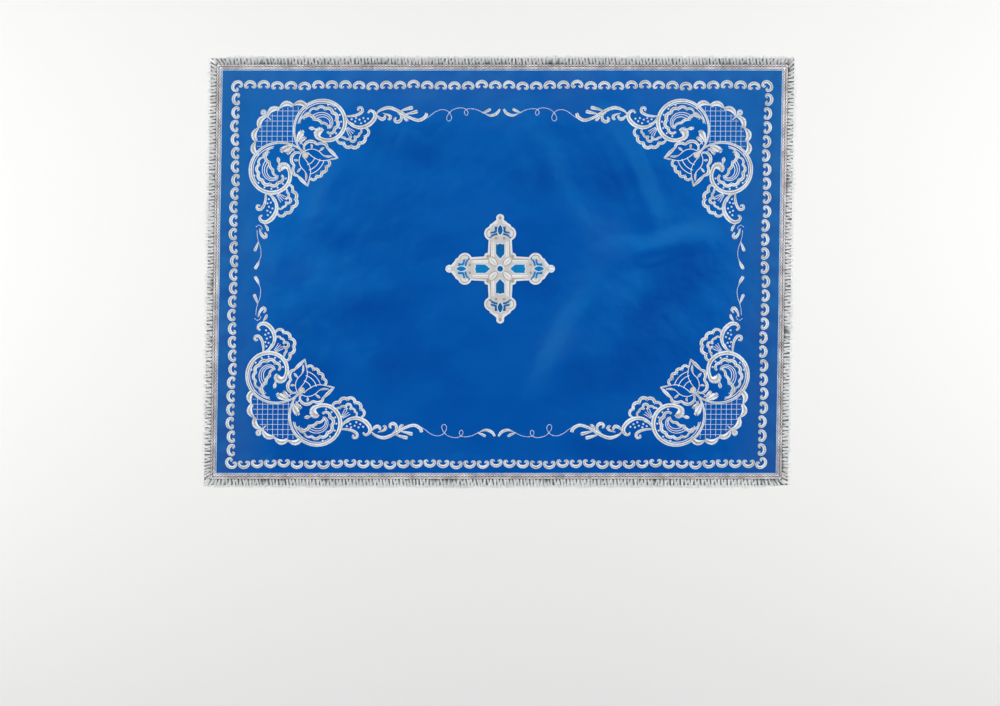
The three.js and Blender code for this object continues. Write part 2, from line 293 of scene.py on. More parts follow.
def satin_material():
    """Polyester satin, woven with long floats: saturated and even, with a soft sheen on the folds, partly
    gloss and partly painted.
    """
    material, tree = new_material("blue polyester satin")
    place = add_node(tree, "ShaderNodeTexCoord").outputs["Object"]
    # Painted sheen: broad slanting bands of lighter and darker colour, for where the laid-out cloth leans a
    # little.
    band_size = 100 * MM
    band_slant, band_stretch = (0.0, 0.0, 0.9), (1.0, 1.8, 1.0)
    bands = result(
        tree, "ShaderNodeMapping", {"Vector": place, "Rotation": band_slant, "Scale": band_stretch}
    )
    painted_sheen_cloud = noise(tree, bands, 1 / band_size, 1.5)
    # Painted sheen: the satin's colour is painted lighter, in patches, along its upper and side edges.
    side_sheen_share, painted_sheen_cloud_share, painted_grey_share = 0.7, 0.5, 0.3
    axes = add_node(tree, "ShaderNodeSeparateXYZ", {"Vector": place}).outputs
    reaches = []
    for distance, size in ((maths(tree, "ABSOLUTE", axes["X"]), PANEL_WIDTH), (axes["Y"], PANEL_DEPTH)):
        span = ((size / 2 - PAINTED_EDGE_SHEEN_DEPTH) * MM, size / 2 * MM)
        reaches.append(remap(tree, distance, span, interpolation_type="SMOOTHSTEP"))
    side, top_edge_sheen = reaches
    edge = maths(tree, "MAXIMUM", maths(tree, "MULTIPLY", side, side_sheen_share), top_edge_sheen)
    edge_sheen_patch_size = 50 * MM
    patchy = remap(tree, noise(tree, place, 1 / edge_sheen_patch_size, 2.0), (0.32, 0.68), (0.25, 1.0))
    painted_edge_sheen = maths(tree, "MULTIPLY", edge, patchy)
    # The painted sheen and painted shade bands that the panel's points carry are added on top.
    painted_sheen_sum = maths(tree, "ADD", painted_edge_sheen, attribute(tree, "sheen"))
    tone = maths(tree, "MULTIPLY_ADD", painted_sheen_cloud, painted_sheen_cloud_share, painted_sheen_sum)
    blue = ramp(tree, tone, (0.12, "#003b97"), (0.28, "#004aa4"), (0.9286, "#1e50a2"))
    # Painted sheen: along the short edges the colour is also painted a little greyer.
    painted_grey_sheen = maths(tree, "MULTIPLY", side, painted_grey_share)
    mixed = add_node(tree, "ShaderNodeMix", {0: painted_grey_sheen, 6: blue, 7: linear("#294073")}, data_type="RGBA")
    # Floats are about 0.3 mm apart. They are drawn 0.9 mm apart so that they show.
    float_spacing = 0.9 * MM
    weave = bumps(tree, waves(tree, place, float_spacing, 2.0, "Y"), strength=0.12, depth=0.1 * MM)
    # The cloth isn't ironed quite smooth, so the sheen on the folds breaks up softly.
    crumple_size = 24 * MM
    crumple = noise(tree, place, 1 / crumple_size, 2.0)
    return surface(
        material,
        {
            "Base Color": mixed.outputs[2],
            "Roughness": remap(tree, painted_sheen_cloud, (0.0, 1.0), (0.32, 0.38)),
            "Specular IOR Level": 0.46,
            "Specular Tint": linear("#40deff"),
            "Normal": bumps(tree, crumple, strength=1.0, depth=1.2 * MM, under=weave),
        },
    )


satin_panel = panel_mesh()
satin_panel.data.materials.append(satin_material())
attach(satin_panel, "root")
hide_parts("cloth")

# Silver braid
# A narrow woven head of metallised thread, sewn over the panel's edge on all four sides and mitred at the
# corners. Two rows of chain run along it, and short loops of the same thread stand out as the fringe.
FRINGE_LENGTH = 8
HEAD_LIFT = PANEL_THICKNESS + 0.3
# Each side: quarter turns, distance from the middle to the fringe's tips and half length over the fringe.
BRAID_SIDES = [
    (0, OVERALL_DEPTH / 2, OVERALL_WIDTH / 2),
    (1, OVERALL_WIDTH / 2, OVERALL_DEPTH / 2),
    (2, OVERALL_DEPTH / 2, OVERALL_WIDTH / 2),
    (3, OVERALL_WIDTH / 2, OVERALL_DEPTH / 2),
]
# The sections of the head and of the fringe's dense ground: distance in from the fringe's tips, and height
# above the cloth's underside.
HEAD_SECTION = [(8, 1.9), (8, 2.1), (8.6, 2.25), (11.1, 2.2), (13.6, 2.25), (14, 2.1), (14, 1.9)]
FRINGE_GROUND = [(2.2, 0.2), (2.2, 0.4), (6.4, 0.7), (8.6, 1.8), (8.6, 1.6), (6.4, 0.5)]
HEAD_STEP = 4
CHAIN_ROWS = [9.6, 12.2]  # distances in from the fringe's tips
CHAIN_WIDTH = 1.8
CHAIN_PITCH = 3.4
CHAIN_RISE = 0.85
SEAM_ROW = 13.9  # the seam that holds the braid's inner edge
SEAM_WIDTH = 1.5
SEAM_PITCH = 1.7
SEAM_RISE = 0.5
LOOP_PITCH = 3.4
LOOP_RISE = 1.9
LOOP_SLANT = 0.16
STRAY_PITCH = 5.3  # now and then a shorter loop lies across the others
STRAY_LENGTH = 2.8
STRAY_RISE = 2.2
STRAY_SLANT = -0.3
FRINGE_SHEEN_PATCH = 36  # painted sheen makes the fringe lighter and darker in patches of about this length
CORNER_FAN = math.radians(40)
CORNER_FAN_REACH = 24


def on_side(side, along, inward):
    """X and Y of places along one side of the braid, at a distance in from the fringe's tips."""
    turns, to_edge, _ = side
    cosine, sine = round(math.cos(turns * math.pi / 2)), round(math.sin(turns * math.pi / 2))
    reach = to_edge - np.asarray(inward, float)
    return along * cosine - reach * sine, along * sine + reach * cosine


def tube_faces(rings, ring, first=0, capped=True):
    """Quads between rings of points, with a face on each end of a capped tube."""
    start = first + np.arange(rings - 1)[:, None] * ring
    here, beside = start + np.arange(ring), start + (np.arange(ring) + 1) % ring
    faces = np.stack([here, beside, beside + ring, here + ring], axis=-1).reshape(-1, 4).tolist()
    if capped:
        faces.append(list(range(first + ring - 1, first - 1, -1)))
        faces.append(list(range(first + (rings - 1) * ring, first + rings * ring)))
    return faces


def braid_strip(name, section):
    """A closed band on each side with the given section, mitred at the corners."""
    points, faces, alongs, acrosses = [], [], [], []
    inward, lift = np.array(section).T
    for side in BRAID_SIDES:
        first = sum(len(p) for p in points)
        count = round(2 * side[2] / HEAD_STEP)
        along = np.linspace(-1, 1, count)[:, None] * (side[2] - inward)
        across = np.broadcast_to(inward, along.shape)
        x, y = on_side(side, along, across)
        points.append(laid(x, y, lift).reshape(-1, 3))
        faces += tube_faces(count, len(section), first)
        alongs.append(along.ravel())
        acrosses.append(across.ravel())
    made = mesh_object(name, np.concatenate(points), faces)
    # The pattern runs along each side, so every point keeps its place along and across the braid.
    carry(made, "along", np.concatenate(alongs))
    carry(made, "across", np.concatenate(acrosses))
    return made


def thread_material(name, stops, tone_share, metal, roughness, gloss):
    """Thread whose stitches each have a tone of their own, partly random and partly painted sheen, and
    whose colour runs through painted shade and light from root to tip.
    """
    material, tree = new_material(name)
    light = maths(tree, "MULTIPLY_ADD", attribute(tree, "tone"), tone_share, attribute(tree, "reach"))
    inputs = {"Base Color": ramp(tree, light, *stops), "Metallic": metal, "Roughness": roughness}
    return surface(material, inputs | {"Specular IOR Level": gloss})


def lurex(name, dark, middle, bright, roughness, dark_share=0.05):
    """Metallised polyester thread: it glitters, with painted shade at its root and painted light at its
    tip.
    """
    stops = [(dark_share, dark), (0.4, middle), (0.85, bright)]
    return thread_material(name, stops, tone_share=0.55, metal=0.45, roughness=roughness, gloss=0.5)


def braid_ground_material(name, rib_size, root_shade_reach, dark, light):
    """Ground of the braid: dull silver in uneven ribs, with painted sheen in patches and painted shade
    where the loops leave the head.
    """
    material, tree = new_material(name)
    across = attribute(tree, "across")
    lean = maths(tree, "MULTIPLY_ADD", across, LOOP_SLANT, attribute(tree, "along"))
    drawn_out = maths(tree, "MULTIPLY", across, 0.2)
    flow = result(tree, "ShaderNodeCombineXYZ", {"X": lean, "Y": drawn_out})
    rib = noise(tree, flow, 1 / rib_size)
    sheen_patch_size = 34  # millimetres, like the places along the braid
    # Painted sheen: the colour is lighter and darker in long patches.
    patch = remap(tree, noise(tree, flow, 1 / sheen_patch_size), (0.4, 0.6), (0.25, 1.8))
    patchy = maths(tree, "MULTIPLY", remap(tree, rib, (0.36, 0.62), (0.12, 1.0)), patch)
    # Painted shade: the colour darkens towards the line where the loops leave the head.
    from_line = maths(tree, "ABSOLUTE", maths(tree, "SUBTRACT", across, FRINGE_LENGTH + 0.2))
    line = remap(tree, from_line, (0.2, root_shade_reach), (0.0, 0.5))
    colour = ramp(tree, maths(tree, "MULTIPLY", patchy, line), (0.0, dark), (1.0, light))
    ribbed = bumps(tree, rib, strength=0.5, depth=0.3 * MM)
    return surface(material, {"Base Color": colour, "Metallic": 0.35, "Roughness": 0.42, "Normal": ribbed})


def sewing_tree():
    """Repeats one stitch along paths. Each path's points carry a width, and may carry a turn."""
    tree = bpy.data.node_groups.new("sewn along paths", "GeometryNodeTree")
    sockets = {"Paths": "Geometry", "Stitch": "Object", "Thread": "Material", "Seed": "Int"}
    sockets |= dict.fromkeys(("Pitch", "Length", "Rise", "Slant", "Unevenness", "Patch"), "Float")
    for name, kind in sockets.items():
        tree.interface.new_socket(name, in_out="INPUT", socket_type="NodeSocket" + kind)
    tree.interface.new_socket("Sewn", in_out="OUTPUT", socket_type="NodeSocketGeometry")
    given = add_node(tree, "NodeGroupInput").outputs
    curves = result(tree, "GeometryNodeMeshToCurve", {"Mesh": given["Paths"]})
    spacing = {"Curve": curves, "Length": given["Pitch"]}
    spaced = result(tree, "GeometryNodeResampleCurve", spacing, mode="LENGTH")
    width, turn = [
        result(tree, "GeometryNodeInputNamedAttribute", {"Name": name}, data_type="FLOAT")
        for name in ("width", "turn")
    ]
    # Each stitch differs by chance: in its direction, its reach and its tone.
    draws = []
    for lowest, seed_step in ((-1.0, 0), (-1.0, 7), (0.0, 13)):
        seed = maths(tree, "ADD", given["Seed"], seed_step)
        draw = add_node(tree, "FunctionNodeRandomValue", {2: lowest, 3: 1.0, "Seed": seed})
        draws.append(draw.outputs[1])
    wobble, swell, single = draws
    # Neighbours lie alike, so painted sheen also makes the tone lighter and darker in patches along the
    # stitching.
    place = result(tree, "GeometryNodeInputPosition")
    painted_sheen_patches = noise(tree, place, maths(tree, "DIVIDE", 1.0, given["Patch"]))
    sheen_patch_share = 0.6
    blend = {"Factor": sheen_patch_share, "A": single, "B": remap(tree, painted_sheen_patches, (0.32, 0.68))}
    tone = result(tree, "ShaderNodeMix", blend)
    turned = maths(tree, "MULTIPLY_ADD", wobble, given["Unevenness"], turn)
    angle = maths(tree, "ADD", turned, given["Slant"])
    angles = result(tree, "ShaderNodeCombineXYZ", {"Z": angle})
    tangent = result(tree, "GeometryNodeInputTangent")
    facing = result(
        tree, "FunctionNodeAlignRotationToVector", {"Vector": tangent}, axis="X", pivot_axis="Z"
    )
    turn_by = result(tree, "FunctionNodeEulerToRotation", {"Euler": angles})
    turning = {"Rotation": facing, "Rotate By": turn_by}
    rotation = result(tree, "FunctionNodeRotateRotation", turning, rotation_space="LOCAL")
    swollen = maths(tree, "MULTIPLY_ADD", swell, given["Unevenness"], 1.0)
    reach = maths(tree, "MULTIPLY", width, swollen)
    scale = result(tree, "ShaderNodeCombineXYZ", {"X": given["Length"], "Y": reach, "Z": given["Rise"]})
    stitch = add_node(tree, "GeometryNodeObjectInfo", {"Object": given["Stitch"]}).outputs["Geometry"]
    laying = {"Points": spaced, "Instance": stitch, "Rotation": rotation, "Scale": scale}
    sewn = result(tree, "GeometryNodeInstanceOnPoints", laying)
    toning = {"Geometry": sewn, "Name": "tone", "Value": tone}
    toned = result(tree, "GeometryNodeStoreNamedAttribute", toning, data_type="FLOAT", domain="INSTANCE")
    real = result(tree, "GeometryNodeRealizeInstances", {"Geometry": toned})
    finished = result(tree, "GeometryNodeSetMaterial", {"Geometry": real, "Material": given["Thread"]})
    add_node(tree, "NodeGroupOutput", {"Sewn": finished})
    return tree


sewn_along = sewing_tree()


def sew(name, paths, stitch, thread, pitch, length, rise, slant=0.0, unevenness=0.06, patch=14, *, seed):
    """One mesh of stitches along paths, each a list of places in metres with widths and turns."""
    points, edges, widths, turns = [], [], [], []
    for places, path_widths, path_turns in paths:
        first = len(widths)
        points.append(places)
        edges += [(first + i, first + i + 1) for i in range(len(places) - 1)]
        widths += list(np.broadcast_to(path_widths, len(places)))
        turns += list(np.broadcast_to(path_turns, len(places)))
    guide = mesh_object(name + "_paths", np.concatenate(points), [], edges)
    carry(guide, "width", np.array(widths) * MM)
    carry(guide, "turn", turns)
    modifier = guide.modifiers.new("sewing", "NODES")
    modifier.node_group = sewn_along
    values = {
        "Stitch": stitch,
        "Pitch": pitch * MM,
        "Length": length * MM,
        "Rise": rise * MM,
        "Slant": slant,
        "Unevenness": unevenness,
        "Patch": patch * MM,
        "Seed": seed,
        "Thread": thread,
    }
    for item in sewn_along.interface.items_tree:
        if item.in_out == "INPUT" and item.name in values:
            modifier[item.identifier] = values[item.name]
    evaluated = guide.evaluated_get(bpy.context.evaluated_depsgraph_get())
    mesh = bpy.data.meshes.new_from_object(evaluated)
    guide.modifiers.remove(modifier)
    bpy.data.objects.remove(guide)
    mesh.name = name
    mesh.shade_smooth()
    return in_scene(name, mesh)


def stitch_shape(name, points, faces, reach):
    """A stitch of unit size that only the sewing uses. Its points carry a reach: how much painted light,
    rather than painted shade, each place gets.
    """
    mesh = bpy.data.meshes.new(name)
    mesh.from_pydata(points, [], faces)
    mesh.shade_smooth()
    shape = bpy.data.objects.new(name, mesh)
    carry(shape, "reach", reach)
    return shape


def thread_loop():
    """A loop of fringe: one thread out from the head, round the tip and back, thinner at its tip."""
    centre_line = [(-0.12, 0, 1), (-0.15, 0.34, 0.46), (-0.13, 0.9, 0.2), (0, 1, 0.16),
                   (0.13, 0.9, 0.2), (0.15, 0.34, 0.46), (0.12, 0, 1)]
    thick, deep = 0.13, 0.24
    points, reach = [], []
    for x, y, z in centre_line:
        side_x, side_y = (math.copysign(thick, x), 0) if x else (0, 0.4 * thick)
        around = [(-side_x, -side_y, 0), (0, 0, deep), (side_x, side_y, 0), (0, 0, -deep / 2)]
        points += [(x + to_x, y + to_y, z + to_z) for to_x, to_y, to_z in around]
        # Painted shade at the loop's root, painted light towards its tip.
        reach += [0.15 + 0.25 * y] * 4
    faces = tube_faces(len(centre_line), 4, capped=False)
    return stitch_shape("fringe loop", points, faces, reach)


def chain_link():
    """One V of a chain row: two short plump bars that meet at a point."""
    points, faces = [], []
    for hand in (-1, 1):
        first = len(points)
        for x, y, z in ((-0.62, 0.46 * hand, 0.3), (-0.1, 0.3 * hand, 1), (0.5, 0.04 * hand, 0.4)):
            points += [(x, y - 0.2, 0), (x, y, z), (x, y + 0.2, 0)]
        for step in (0, 3):
            a = first + step
            faces += [(a, a + 3, a + 4, a + 1), (a + 1, a + 4, a + 5, a + 2)]
    # Painted highlight: the raised crest of each bar is painted lighter than its foot.
    return stitch_shape("chain link", points, faces, [0.2 + 0.3 * z for _, _, z in points])


def braid_paths(inward, lift, inset, width, fan=False):
    """A path along each side at a distance in from the fringe's tips."""
    paths = []
    for side in BRAID_SIDES:
        half = side[2] - inset
        along = np.linspace(half, -half, round(2 * half / HEAD_STEP))
        x, y = on_side(side, along, np.full(along.shape, inward))
        nearness = np.maximum(0, (np.abs(along) - half + CORNER_FAN_REACH) / CORNER_FAN_REACH)
        turn = -CORNER_FAN * np.sign(along) * nearness if fan else 0.0
        paths.append((laid(x, y, lift), width, turn + math.pi))
    return paths


# Painted shade darkens each loop towards its root, and painted light brightens its tip.
fringe_thread = lurex("silver metallised thread", "#4a4d4f", "#f2f4f4", "#ffffff", 0.3, dark_share=0.22)
chain_thread = lurex("warm metallised thread", "#6b6466", "#bdb6b9", "#fbf9f9", 0.36)
# The seam's stitches are real; their pale blue is a painted reflection of the blue satin beside the braid.
seam_thread_painted_blue = lurex("pale seam thread", "#7ba4dc", "#a0c6f2", "#d6e9ff", 0.4)

braid_head = braid_strip("braid_head", HEAD_SECTION)
head_ground = braid_ground_material("woven silver braid", 1.1, 1.0, "#2a2223", "#70676a")
braid_head.data.materials.append(head_ground)
# The dense ground lies in the gaps between the loops: partly dense thread, partly painted shade where it
# darkens towards the head.
fringe_ground = braid_strip("fringe_ground", FRINGE_GROUND)
dense_ground = braid_ground_material("dense silver fringe", 1.3, 4.0, "#5a5d5f", "#ffffff")
fringe_ground.data.materials.append(dense_ground)
link, loop = chain_link(), thread_loop()
chain_paths = []
for inward in CHAIN_ROWS:
    chain_paths += braid_paths(inward, HEAD_LIFT + 0.3, inward + 1, CHAIN_WIDTH)
braid_chain = sew(
    "braid_chain", chain_paths, link, chain_thread, CHAIN_PITCH, CHAIN_PITCH, CHAIN_RISE, seed=3
)
seam_paths = braid_paths(SEAM_ROW, HEAD_LIFT + 0.1, SEAM_ROW, SEAM_WIDTH)
braid_seam = sew("braid_seam", seam_paths, link, seam_thread_painted_blue, SEAM_PITCH, SEAM_PITCH, SEAM_RISE, seed=4)
loop_paths = braid_paths(FRINGE_LENGTH + 0.4, 0.5, FRINGE_LENGTH, FRINGE_LENGTH + 0.6, fan=True)
fringe_loops = sew(
    "fringe_loops", loop_paths, loop, fringe_thread, LOOP_PITCH, LOOP_PITCH, LOOP_RISE,
    slant=LOOP_SLANT, unevenness=0.1, patch=FRINGE_SHEEN_PATCH, seed=5,
)
stray_paths = braid_paths(FRINGE_LENGTH + 0.3, 0.7, FRINGE_LENGTH, FRINGE_LENGTH - 1.2, fan=True)
fringe_strays = sew(
    "fringe_strays", stray_paths, loop, fringe_thread, STRAY_PITCH, STRAY_LENGTH, STRAY_RISE,
    slant=STRAY_SLANT, unevenness=0.18, patch=FRINGE_SHEEN_PATCH, seed=6,
)
braid_pieces = [braid_head, fringe_ground, braid_chain, braid_seam, fringe_loops, fringe_strays]
for piece in braid_pieces:
    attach(piece, "root")
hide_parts("braid_top", "braid_left", "braid_bottom", "braid_right")

# Scroll border
# A row of small C-shaped scrolls runs round the panel, their backs to the edge, with a turned one in each
# corner. They are machine satin stitch in silver-white rayon, thread laid close beside thread.
FACE_LIFT = PANEL_THICKNESS + 0.02
BORDER_HALF_WIDTH = 271
BORDER_TOP = 190
BORDER_BOTTOM = -195.8
SCROLLS_ALONG = {1: 39, -1: 40}  # along the top and the bottom
SCROLLS_DOWN = {1: 28, -1: 27}  # down the left and the right side
SCROLL_RADIUS = 4.8
SCROLL_SPREAD = 1.06  # a scroll is a little wider than it is deep
SCROLL_FLATNESS = 0.87
SCROLL_DROP = 1.0  # the arch's centre lies this far behind the scroll's middle
ARCH_HALF = 100  # degrees from the crown to where an end starts to curl
CURL_RADIUS = 1.35
CURL_SWEEP = 175
CORNER_ARCH_HALF = 128  # the corner scrolls are nearly closed
SCROLL_WIDTHS = (3.4, 3.0, 2.1, 1.6)  # from the crown to a curl's end, at these shares of the way
SCROLL_SHARES = (0, 0.35, 0.7, 1)
SLOW_DRIFT = 0.7  # the hand-guided scrolls are a little out of line
QUICK_DRIFT = 0.4
SATIN_PITCH = 0.62
THREAD_LENGTH = 0.72
SATIN_RISE = 0.75


def satin_thread():
    """One thread of satin stitch, across the path: it rises from the cloth, crosses and goes down again."""
    points = []
    for y, z in ((-0.5, 0), (-0.36, 0.66), (0, 1), (0.36, 0.66), (0.5, 0)):
        points += [(-0.5, y, 0.45 * z), (0, y, z), (0.5, y, 0.45 * z)]
    # Painted shade on the thread's crown, painted highlight on its flanks.
    return stitch_shape("satin thread", points, grid_faces(5, 3), [abs(2 * y) for _, y, _ in points])


def rayon(name, light, painted_shade):
    """Glossy rayon embroidery thread: painted shade, warm, on its crown and a painted silver-white
    highlight on the flanks that face the lamps.
    """
    stops = [(0.1, painted_shade), (0.8, light)]
    return thread_material(name, stops, tone_share=0.45, metal=0.25, roughness=0.32, gloss=0.6)


def scroll(middle_x, middle_y, turn, arch_half=ARCH_HALF):
    """One C-scroll: a wide arch whose ends curl in. Its back faces +Y before it is turned."""
    arch = np.radians(np.linspace(90, 90 - arch_half, 14))
    curl = np.radians(np.linspace(90 - arch_half, 90 - arch_half - CURL_SWEEP, 12)[1:])
    inset = SCROLL_RADIUS - CURL_RADIUS
    across, along = [
        np.concatenate([SCROLL_RADIUS * wave(arch), inset * wave(arch[-1]) + CURL_RADIUS * wave(curl)])
        for wave in (np.cos, np.sin)
    ]
    width = np.interp(np.linspace(0, 1, len(across)), SCROLL_SHARES, SCROLL_WIDTHS)
    across = SCROLL_SPREAD * np.concatenate([-across[:0:-1], across])
    along = SCROLL_FLATNESS * np.concatenate([along[:0:-1], along]) - SCROLL_DROP
    x = middle_x + across * math.cos(turn) - along * math.sin(turn)
    y = middle_y + across * math.sin(turn) + along * math.cos(turn)
    return laid(x, y, FACE_LIFT), np.concatenate([width[:0:-1], width]), 0.0


def border_paths():
    """All the scrolls round the panel, with small hand-guided differences of place."""
    middle = (BORDER_TOP + BORDER_BOTTOM) / 2
    half_depth = (BORDER_TOP - BORDER_BOTTOM) / 2
    paths = []
    for hand in (1, -1):
        across = BORDER_HALF_WIDTH * (2 * np.arange(1, SCROLLS_ALONG[hand]) / SCROLLS_ALONG[hand] - 1)
        down = half_depth * (2 * np.arange(1, SCROLLS_DOWN[hand]) / SCROLLS_DOWN[hand] - 1)
        for i, x in enumerate(across):
            drift = SLOW_DRIFT * math.sin(1.1 * i + hand) + QUICK_DRIFT * math.sin(2.7 * i)
            paths.append(scroll(x, middle + hand * half_depth + drift, 0 if hand > 0 else math.pi))
        for i, y in enumerate(down):
            drift = SLOW_DRIFT * math.sin(0.9 * i + 2 * hand) + QUICK_DRIFT * math.sin(2.3 * i)
            paths.append(scroll(-hand * BORDER_HALF_WIDTH + drift, middle + y, hand * math.pi / 2))
        for up in (1, -1):
            corner = -hand * BORDER_HALF_WIDTH, middle + up * half_depth
            paths.append(scroll(*corner, math.atan2(up, -hand) - math.pi / 2, CORNER_ARCH_HALF))
    return paths


# Its pale colour is painted on the satin threads' flanks as highlight, its warm one on their crowns as
# shade.
silver_thread = rayon("silver-white rayon thread", "#e0e9f0", "#877862")
satin_stitch = satin_thread()


def satin_sewn(name, paths, seed):
    """Paths filled with satin stitch in silver-white thread."""
    return sew(name, paths, satin_stitch, silver_thread, SATIN_PITCH, THREAD_LENGTH, SATIN_RISE, seed=seed)


scroll_border = satin_sewn("scroll_border", border_paths(), 11)
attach(scroll_border, "root")

# Corner sprays
# In each corner a flower sits between two scrolled fronds, with a lattice of laid threads behind it and a
# dotted horn and a small open flower beyond each frond. It is machine embroidery, the same on both halves.
SPRAY_HALF_WIDTH = 271  # a spray is drawn as u and v, measured in from the border's corner
SPRAY_HALF_DEPTH = 191.2
SPRAY_MIDDLE = -1
FROND_CENTRE = (91.5, 40.5)
FROND_START = 222  # the frond's spiral runs clockwise between these angles, in degrees
FROND_END = -107
FROND_RADIUS = 35.5
FROND_END_RADIUS = 14.7
FLOWER_CENTRE = (71.2, 71.2)
FAN_CENTRE = (60, 60)
FAN_RADIUS = 41
LATTICE_FIRST = 26.5
LATTICE_PITCH = 5.25
LATTICE_COUNT = 8
FINE_WIDTH = 0.75
LATTICE_WIDTH = 0.52
RIM_FULLNESS = 1.15
PETAL_FULLNESS = 1.5
SIDE_SHRINK = 0.984  # the half of a spray beside the short edge is drawn up a little
FINE_PITCH = 1.5
VEIN_RISE = 0.4
LATTICE_RISE = 0.3
DOT_SIZE = 2.1
DOT_RISE = 0.8
HEART_SIZE = 5.2
HEART_RISE = 1.1
KNOT_PITCH = 1.0  # longer than a knot's path, so it is sewn just at the path's two ends, 0.02 mm apart


def drawn(*rows):
    """A smooth curve through rows of u, v and width."""
    rows = np.array(rows, float)
    ends = np.concatenate([2 * rows[:1] - rows[1:2], rows, 2 * rows[-1:] - rows[-2:-1]])
    share = np.linspace(0, 1, 10, endpoint=False)[:, None]
    spans = []
    for before, start, end, after in zip(ends, ends[1:], ends[2:], ends[3:]):
        bend = 2 * before - 5 * start + 4 * end - after
        twist = 3 * (start - end) + after - before
        spans.append(start + 0.5 * share * (end - before + share * (bend + share * twist)))
    curve = np.concatenate(spans + [rows[-1:]])
    return curve[:, :2], np.maximum(curve[:, 2], 0.5)


def spiral(centre, start, end, start_radius, end_radius, widths, count=60):
    """Part of an even spiral, with widths at even steps. Angles in degrees, anticlockwise from +u."""
    share = np.linspace(0, 1, count)
    angle = np.radians(start + (end - start) * share)
    radius = start_radius * (end_radius / start_radius) ** share
    places = np.stack([centre[0] + radius * np.cos(angle), centre[1] - radius * np.sin(angle)], axis=-1)
    return places, np.interp(share, np.linspace(0, 1, len(widths)), widths)


def scalloped(path, lobes, depth):
    """A path whose line swells out on its left side in even lobes."""
    places, widths = path
    step = np.linalg.norm(np.diff(places, axis=0), axis=1)
    travel = np.concatenate([[0], np.cumsum(step)])
    even = np.linspace(0, travel[-1], 16 * lobes + 1)
    places = np.stack([np.interp(even, travel, places[:, i]) for i in (0, 1)], axis=-1)
    widths = np.interp(even, travel, widths)
    ahead = np.gradient(places, axis=0)
    ahead /= np.linalg.norm(ahead, axis=1)[:, None]
    swell = depth * np.abs(np.sin(math.pi * lobes * even / travel[-1])) ** 0.7
    return places + swell[:, None] * np.stack([ahead[:, 1], -ahead[:, 0]], axis=-1), widths


def fine(*rows):
    """A thin curve through rows of u and v."""
    return drawn(*[(u, v, FINE_WIDTH) for u, v in rows])


def dot(u, v, size=DOT_SIZE):
    """A knot of thread."""
    return np.array([(u - 0.01, v), (u + 0.01, v)]), np.full(2, size)


def mirrored(paths):
    """The paths and their mirror image on the other side of the corner's diagonal."""
    return paths + [(places[:, ::-1] * (1, SIDE_SHRINK), widths) for places, widths in paths]


def fuller(paths, fullness):
    """The paths with their widths made larger or smaller."""
    return [(places, fullness * widths) for places, widths in paths]


def frond_columns():
    """The padded satin columns of one frond with its horn and its small flower."""
    band_end = (FROND_CENTRE[0] - 4.3, FROND_CENTRE[1] + 8.7)
    return [
        spiral(FROND_CENTRE, FROND_START, FROND_END, FROND_RADIUS, FROND_END_RADIUS,
               (1.6, 2.2, 2.7, 3.2, 3.6, 3.5, 3.2), 120),
        spiral(band_end, -94, -300, 5.4, 2.8, (3.2, 5.2, 6.6, 6.4, 3.4)),
        scalloped(spiral(FROND_CENTRE, 165, -75, 22.8, 7.2, (1.0, 2.6, 3.0, 2.8, 2.0), 90), 7, 2.3),
        scalloped(drawn((65.2, 38.4, 1.0), (69.5, 33, 2.2), (75, 32.2, 2.5), (82, 36.5, 2.5),
                        (89, 39.5, 2.3), (94.5, 44, 1.7)), 4, 1.9),
        drawn((83.6, 45.2, 0.8), (80.4, 44.4, 1.4), (77.5, 43.9, 3.2), (75, 43.4, 1.6)),
        drawn((63, 58.5, 0.8), (64.4, 53, 4.2), (67.2, 48.4, 5.6), (69.2, 48.6, 3.0)),
        drawn((65.6, 60, 0.8), (67.6, 56, 2.8), (70.2, 53.8, 3.4), (71.2, 54.6, 1.8)),
        drawn((111.8, 31.4, 1.2), (114, 36.6, 2.0), (120, 41.4, 2.6), (128, 42.9, 3.2), (136, 39.8, 3.7),
              (141.4, 33.6, 3.6), (141, 28, 2.9), (137, 25.6, 2.2), (134.8, 28, 1.6)),
        drawn((111.8, 31.4, 1.2), (117.5, 31.4, 2.0), (124, 30, 2.5), (128.6, 26.6, 2.6),
              (127.8, 22.8, 2.3), (124.4, 23.2, 2.0), (124.8, 25.8, 1.5)),
    ]


def small_flower_columns():
    """The scalloped rim, the inner lobes and the heart of one small flower."""
    return [
        scalloped(drawn((132.6, 43.6, 1.4), (132.6, 50, 2.0), (127.6, 57, 2.2), (119.5, 61.8, 2.2),
                        (111.4, 59, 2.1), (103, 53.6, 1.5)), 5, 2.7),
        scalloped(drawn((126.6, 44.2, 1.0), (126.4, 48.4, 1.5), (122.2, 52.6, 1.5)), 2, 1.4),
        scalloped(drawn((116.6, 53.8, 1.5), (111.2, 53.2, 1.5), (106.4, 49.6, 1.0)), 2, 1.4),
        spiral((119.4, 54.4), 60, -240, 2.8, 2.8, (1.4, 1.9, 1.4)),
    ]


